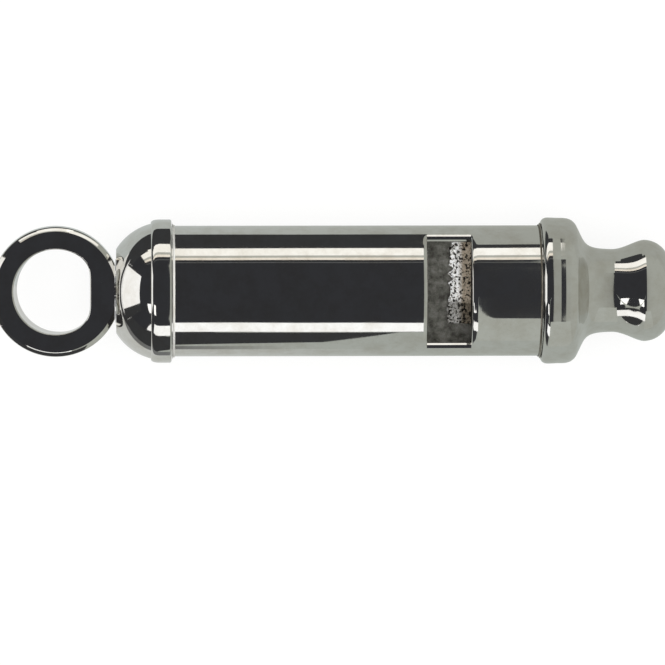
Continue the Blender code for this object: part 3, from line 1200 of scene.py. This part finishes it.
@dataclass
class Card:
    """A plain upright or level card that glows and only the metal sees, between two opposite corners: a
    painted reflection.

    Its shade may fade into another one, along the axis or upwards. Its lower edge may stop short of the
    mouthpiece's end of it by a slant. Its upper edge may run between two other places along the axis. A
    level card may narrow to a point at the mouthpiece's end.
    """

    name: str
    low: tuple[float, float, float]
    high: tuple[float, float, float]
    shade: str
    end_shade: str = ""
    fade: tuple[float, float] = (0.0, 0.0)
    fade_way: Way = Way.ALONG
    slant: float = 0.0
    top: tuple[float, float] | None = None
    pointed: bool = False
    brightness: float = 1.0

    def build(self) -> None:
        """Cut the card, give it its shade and hide it from everything but reflections."""
        low, high = Vector(self.low) * MM, Vector(self.high) * MM
        shape = bmesh.new()
        bmesh.ops.create_grid(shape, x_segments=1, y_segments=1, size=0.5)
        size = high - low
        if size.y == 0:
            bmesh.ops.rotate(shape, matrix=Matrix.Rotation(math.pi / 2, 3, "X"), verts=shape.verts)
        elif size.x == 0:
            bmesh.ops.rotate(shape, matrix=Matrix.Rotation(math.pi / 2, 3, "Y"), verts=shape.verts)
        bmesh.ops.scale(shape, vec=size, verts=shape.verts)
        bmesh.ops.translate(shape, vec=(low + high) / 2, verts=shape.verts)
        cut = [vert for vert in shape.verts if vert.co.x > high.x - WELD and vert.co.z < low.z + WELD]
        bmesh.ops.translate(shape, vec=(-self.slant * MM, 0, 0), verts=cut)
        if self.top is not None:
            left, right = self.top
            middle = (low.x + high.x) / 2
            for vert in shape.verts:
                if vert.co.z > high.z - WELD:
                    vert.co.x = (right if vert.co.x > middle else left) * MM
        if self.pointed:
            tip = [vert for vert in shape.verts if vert.co.x > high.x - WELD]
            bmesh.ops.pointmerge(shape, verts=tip, merge_co=(high.x, low.y, high.z))
        card = show(self.name, mesh_of(shape, self.name, self.material()))
        card.visible_camera = card.visible_diffuse = card.visible_shadow = False

    def material(self) -> bpy.types.Material:
        """Make the card's shade, as the metal shows it.

        Returns:
            The shade as a node material.
        """
        recipe = Recipe(self.name)
        colour = linear(self.shade)
        if self.end_shade:
            stops = ((0.0, self.shade), (1.0, self.end_shade))
            colour = recipe.ramp(recipe.along(self.fade_way, self.fade), stops)
        glow = recipe.add("Emission", {"Color": colour, "Strength": self.brightness})
        return recipe.end(glow.outputs["Emission"])


@dataclass
class Softbox:
    """A flat lamp between two opposite corners, facing square across to the whistle, or down if it lies
    level.
    """

    name: str
    low: tuple[float, float, float]
    high: tuple[float, float, float]
    brightness: float
    colour: str = "#FFFFFF"
    mirrored: bool = True

    def build(self) -> None:
        """Hang the lamp. Its power follows from its brightness and its size."""
        low, high = Vector(self.low) * MM, Vector(self.high) * MM
        size = high - low
        lamp = bpy.data.lights.new(self.name, "AREA")
        lamp.shape = "RECTANGLE"
        lamp.size, lamp.size_y = max(size.x, size.y) if size.z else size.x, size.z or size.y
        lamp.color = linear(self.colour)[:3]
        lamp.energy = self.brightness * math.pi * lamp.size * lamp.size_y
        obj = show(self.name, lamp)
        obj.location = (low + high) / 2
        if size.y == 0:
            facing = Vector((0, -math.copysign(1, low.y), 0))
        elif size.x == 0:
            facing = Vector((-math.copysign(1, low.x), 0, 0))
        else:
            facing = Vector((0, 0, -1))
        obj.rotation_mode = "QUATERNION"
        obj.rotation_quaternion = facing.to_track_quat("-Z", "Y")
        obj.visible_camera = False
        obj.visible_glossy = self.mirrored


@dataclass
class Studio:
    """A pale floor and backdrop, soft lamps, the glowing cards that paint the metal's reflections, and the
    camera.
    """

    floor_size: float = 3.0
    floor_colour: str = "#727270"
    floor_glow: float = 0.845
    floor_squares: int = 8
    backdrop_height: float = 0.13
    backdrop_sides: int = 96
    room: str = "#38393D"
    target: tuple[float, float] = (0.235, -5.07)
    camera_distance: float = 900.0
    tilt_to_ring: float = 1.7
    tilt_to_far_side: float = 3.2
    view_width: float = 80.84
    sensor: float = 36.0
    clip: tuple[float, float] = (0.01, 10.0)
    lamps: tuple[Softbox, ...] = (
        Softbox("far side softbox", (-225, 250, 38), (43, 250, 110), 1.3, WARM_WHITE),
        Softbox("far side upper strip", (-225, 250, 134), (43, 250, 160), 1.1, "#FFF6E8"),
        Softbox("near side softbox", (-165, -250, 83), (28, -250, 185), 1.35, "#FDFEFF"),
        Softbox("ring end softbox", (-150, -43, 0.5), (-150, 70, 112), 1.25),
        Softbox("high window", (-755, -768, 1000), (-365, -363, 1000), 1.6),
        Softbox("overhead fill", (-450, -450, 700), (450, 450, 700), 3.2, mirrored=False),
    )
    # Painted reflections: the dark cards paint shade, the grey ones a dimmer room and floor, the white ones
    # light.
    cards: tuple[Card, ...] = (
        Card("ring end back card", (-152, -80, 0.1), (-152, 80, 112), DARK),
        Card("ring end ground card", (-150, -43, 0.1), (-112, 70, 0.1), "#FFFFFF"),
        Card("ring end dark ground", (-152, -80, 0.08), (-70, 80, 0.08), DARK),
        Card("ring ground card", (-80, -22, 0.12), (-52, 28, 0.12), "#F4F4F2"),
        Card("far ground card", (-70, 0, 0.1), (95, 27, 0.1), "#C7CCCA", FAR_GREY, (-25, 25)),
        Card("far dark ground card", (-70, 27, 0.1), (15, 80, 0.1), DARK),
        Card("near ground card", (-70, -27, 0.1), (95, 0, 0.1), "#D6D8D6", NEAR_GREY, (-30, 10)),
        Card("near foot card", (-70, -41, 0.1), (-5, -27, 0.1), "#7C7D7E", NEAR_GREY, (-19, -5)),
        Card("near dark ground card", (-70, -80, 0.1), (-24, -41, 0.1), DARK),
        Card("near dark ground tip", (-24, -80, 0.1), (1, -41, 0.1), DARK, pointed=True),
        Card("mouthpiece near ground card", (-24, -120, 0.08), (95, -27, 0.08), NEAR_GREY),
        Card("mouthpiece far ground card", (15, 27, 0.1), (95, 80, 0.1), FAR_GREY),
        Card("ring far side flag", (-150, 80, 0.05), (-60, 80, 26), DARK),
        Card("far side flag", (-60, 80, 0.05), (15, 80, 21.5), DARK),
        Card("far side dark line", (15, 80, 10.5), (32.5, 80, 21.5), DARK),
        Card("far side grey card", (15, 80, 0.05), (95, 80, 10.5), FAR_GREY),
        Card("mouthpiece far side card", (32.5, 80, 10.5), (95, 80, 21.5), END_GREY),
        # A glowing card, no lamp: a painted highlight in the metal.
        Card("ring bright card", (-24, 40, 18), (5, 40, 28.5), WARM_WHITE, brightness=1.3),
        Card("far side gap", (-225, 251, 110), (43, 251, 134), "#C9CAC3"),
        Card("far side faint line", (-225, 251, 187), (43, 251, 198), "#656667"),
        Card("far side end card", (43, 251, 20), (110, 251, 200), END_GREY),
        Card("near side flag", (-150, -80, 0.05), (11, -80, 34), DARK, slant=10),
        Card("near side low card", (-12, -120, 0.05), (20, -120, 46), NEAR_GREY),
        Card("near side grey card", (20, -120, 0.05), (95, -120, 124), SIDE_GREY),
        Card(
            "mouthpiece end card", (95, -700, 0.05), (95, 700, 760), "#B6B9B2", "#9FA19B", (60, 600),
            fade_way=Way.UP,
        ),
    )

    # A close grey card with a hollow edge: a painted reflection of the bowl of dark beside the window.
    bowl_distance: float = 20.0
    bowl: tuple[tuple[float, float, float], ...] = (
        (30, 16.9, 22.4), (32.6, 17.0, 20.6), (36.1, 17.1, 19.95), (44.4, 17.3, 19.65), (68.7, 18.2, 20.0),
        (152, 21.2, 22.4),
    )

    def bowl_cards(self) -> tuple[Card, ...]:
        """Cut a close card with a hollow edge, a painted reflection that draws the bowl of dark beside the
        window.

        Returns:
            The strips of the card, from the lowest up.
        """
        y = -self.bowl_distance
        return tuple(
            Card("bowl card strip", (left, y, foot), (right, y, head), SIDE_GREY, top=tuple(top))
            for (foot, left, right), (head, *top) in zip(self.bowl, self.bowl[1:])
        )

    def build(self) -> None:
        """Set up the floor, the lamps, the cards, the room and the camera."""
        for item in (*self.lamps, *self.cards, *self.bowl_cards()):
            item.build()
            LOG.info("%s", item.name)
        self.build_floor()
        self.light_room()
        self.place_camera()

    def build_floor(self) -> None:
        """Lay the floor and stand a low backdrop round it."""
        half = self.floor_size / 2
        floor = bmesh.new()
        bmesh.ops.create_grid(
            floor, x_segments=self.floor_squares, y_segments=self.floor_squares, size=half
        )
        backdrop = bmesh.new()
        bmesh.ops.create_cone(
            backdrop, cap_ends=False, segments=self.backdrop_sides, radius1=half, radius2=half,
            depth=2 * self.backdrop_height,
        )
        pale = self.pale_paper()
        for name, shape in (("floor", floor), ("backdrop", backdrop)):
            show(name, mesh_of(shape, name, pale))

    def pale_paper(self) -> bpy.types.Material:
        """Make matt white paper that keeps the whistle's soft shadow, white to the eye and in the metal.

        Returns:
            The paper as a node material.
        """
        recipe = Recipe("matt white paper")
        path = recipe.add("LightPath").outputs
        seen = path["Is Camera Ray"]
        for ray in ("Is Glossy Ray", "Is Transmission Ray"):
            either = recipe.add("Math", {0: seen, 1: path[ray]}, operation="MAXIMUM")
            seen = either.outputs[0]
        strength = recipe.add("Math", {0: seen, 1: self.floor_glow}, operation="MULTIPLY")
        glow = recipe.add("Emission", {"Strength": strength.outputs[0]})
        paper = recipe.add("BsdfDiffuse", {"Color": linear(self.floor_colour)})
        both = recipe.add("AddShader", {0: glow.outputs[0], 1: paper.outputs[0]})
        return recipe.end(both.outputs["Shader"])

    def light_room(self) -> None:
        """The dark room over the whistle, which its top mirrors."""
        world = bpy.data.worlds.new("room")
        world.use_nodes = True
        world.node_tree.nodes["Background"].inputs["Color"].default_value = linear(self.room)
        bpy.context.scene.world = world
        bpy.context.scene.view_settings.view_transform = "Standard"

    def place_camera(self) -> None:
        """Hang the camera far over the whistle, a little off the perpendicular."""
        lens = bpy.data.cameras.new("camera")
        lens.sensor_width = self.sensor
        lens.lens = self.sensor * self.camera_distance / self.view_width
        lens.clip_start, lens.clip_end = self.clip
        camera = show("camera", lens)
        lean = (-math.tan(math.radians(self.tilt_to_ring)), math.tan(math.radians(self.tilt_to_far_side)), 1)
        back = Vector(lean).normalized()
        right = Vector((0, 1, 0)).cross(back).normalized()
        turn = Matrix((right, back.cross(right), back)).transposed()
        camera.rotation_mode = "QUATERNION"
        camera.rotation_quaternion = turn.to_quaternion()
        camera.location = (Vector((*self.target, 0)) + self.camera_distance * back) * MM
        camera.location.z += AXIS_HEIGHT
        bpy.context.scene.camera = camera


def main() -> None:
    """Build the whistle's pieces in order, then the studio."""
    logging.basicConfig(level=logging.INFO, format="%(name)s: %(message)s")
    finishes = Finishes()
    for assembly in (Barrel, EndCap, Swivel, Mouthpiece, Inserts):
        LOG.info("building %s", assembly.__name__)
        assembly(finishes).build()
    Studio().build()


if __name__ == "__main__":
    main()
